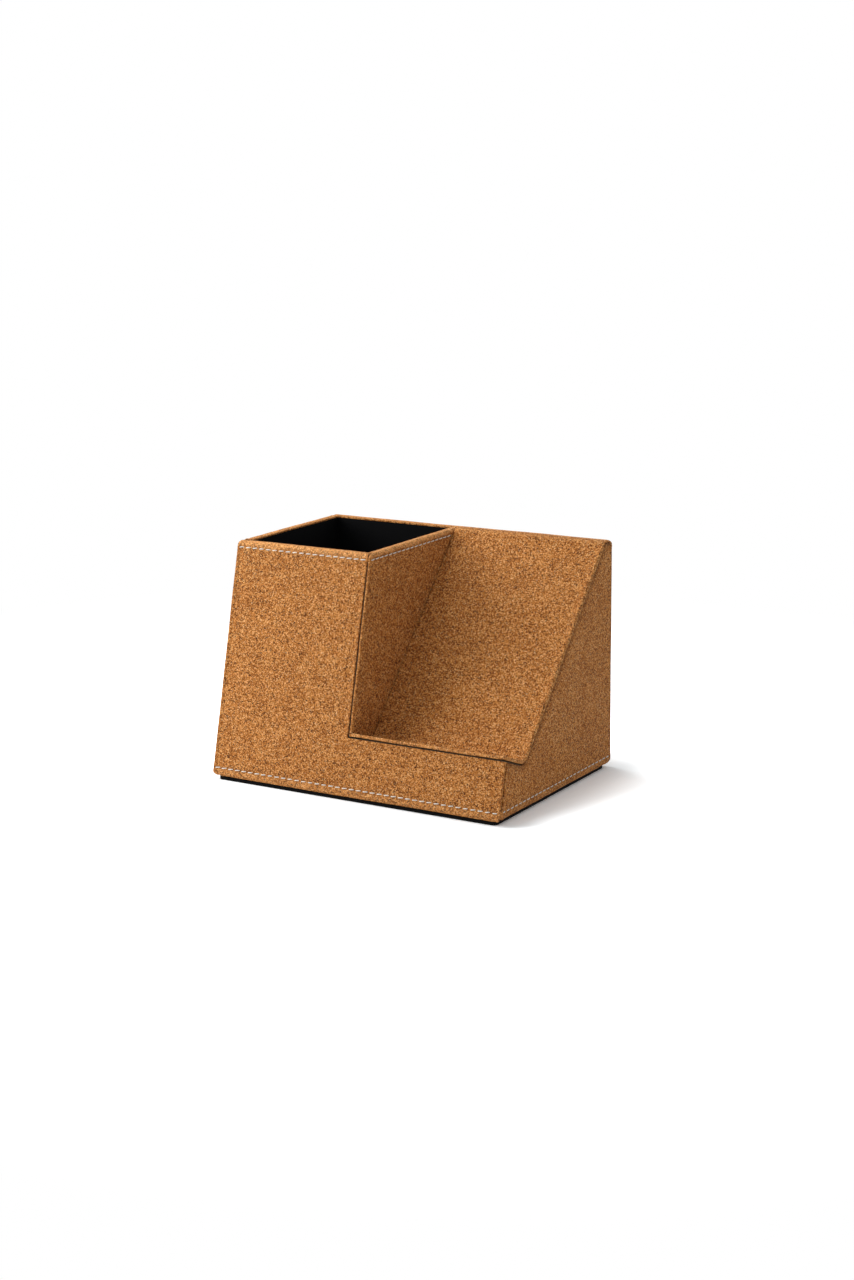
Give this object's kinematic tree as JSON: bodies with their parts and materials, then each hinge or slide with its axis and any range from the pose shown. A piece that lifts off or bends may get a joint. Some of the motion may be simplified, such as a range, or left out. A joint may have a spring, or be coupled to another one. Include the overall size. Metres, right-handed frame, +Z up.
{
  "type": "wireless charging desk caddy",
  "caption": "Cork-covered desk caddy with a tall open compartment and a sloping wireless charging bay with a low front ledge.",
  "frame": {"origin": "on the table, under the middle of the body", "axes": "+Z up, +Y to the back, +X to the charging bay's side"},
  "size_m": [0.148, 0.104, 0.1055],
  "materials": {
    "cork": "natural granulated cork sheet, matt",
    "greyboard": "raw grey bookbinding board",
    "black_lining": "black lining, matt",
    "black_base_sheet": "black non-slip sheet, matt",
    "black_plastic": "moulded, fine grain",
    "foam_tape": "white foam tape",
    "ferrite": "dark sintered ferrite",
    "coil_wire": "lacquered copper wire",
    "circuit_board": "green solder mask",
    "ceramic_component": "matt ceramic",
    "plated_steel": "nickel-plated",
    "lead_insulation": "red insulation"
  },
  "bodies": {
    "root": {"front_cork": "cork", "left_cork": "cork", "right_cork": "cork", "back_cork": "cork", "divider_cork": "cork", "tray_cork": "cork", "base_board": "greyboard", "front_board": "greyboard", "left_board": "greyboard", "right_board": "greyboard", "back_board": "greyboard", "divider_board": "greyboard", "ledge_board": "greyboard", "slope_board": "greyboard", "lining_front": "black_lining", "lining_left": "black_lining", "lining_back": "black_lining", "lining_divider": "black_lining", "lining_floor": "black_lining", "base_sheet": "black_base_sheet", "coil_carrier": "black_plastic", "board_bracket": "black_plastic", "socket_bezel": "black_plastic", "socket_tongue": "black_plastic", "control_chip": "black_plastic", "carrier_tape": "foam_tape", "bracket_tape": "foam_tape", "ferrite_shield": "ferrite", "charging_coil": "coil_wire", "control_board": "circuit_board", "power_inductor": "ceramic_component", "resonant_capacitor_1": "ceramic_component", "resonant_capacitor_2": "ceramic_component", "resonant_capacitor_3": "ceramic_component", "resonant_capacitor_4": "ceramic_component", "socket_shell": "plated_steel", "board_screw_1": "plated_steel", "board_screw_2": "plated_steel", "coil_lead_inner": "lead_insulation", "coil_lead_outer": "lead_insulation"}
  },
  "joints": []
}
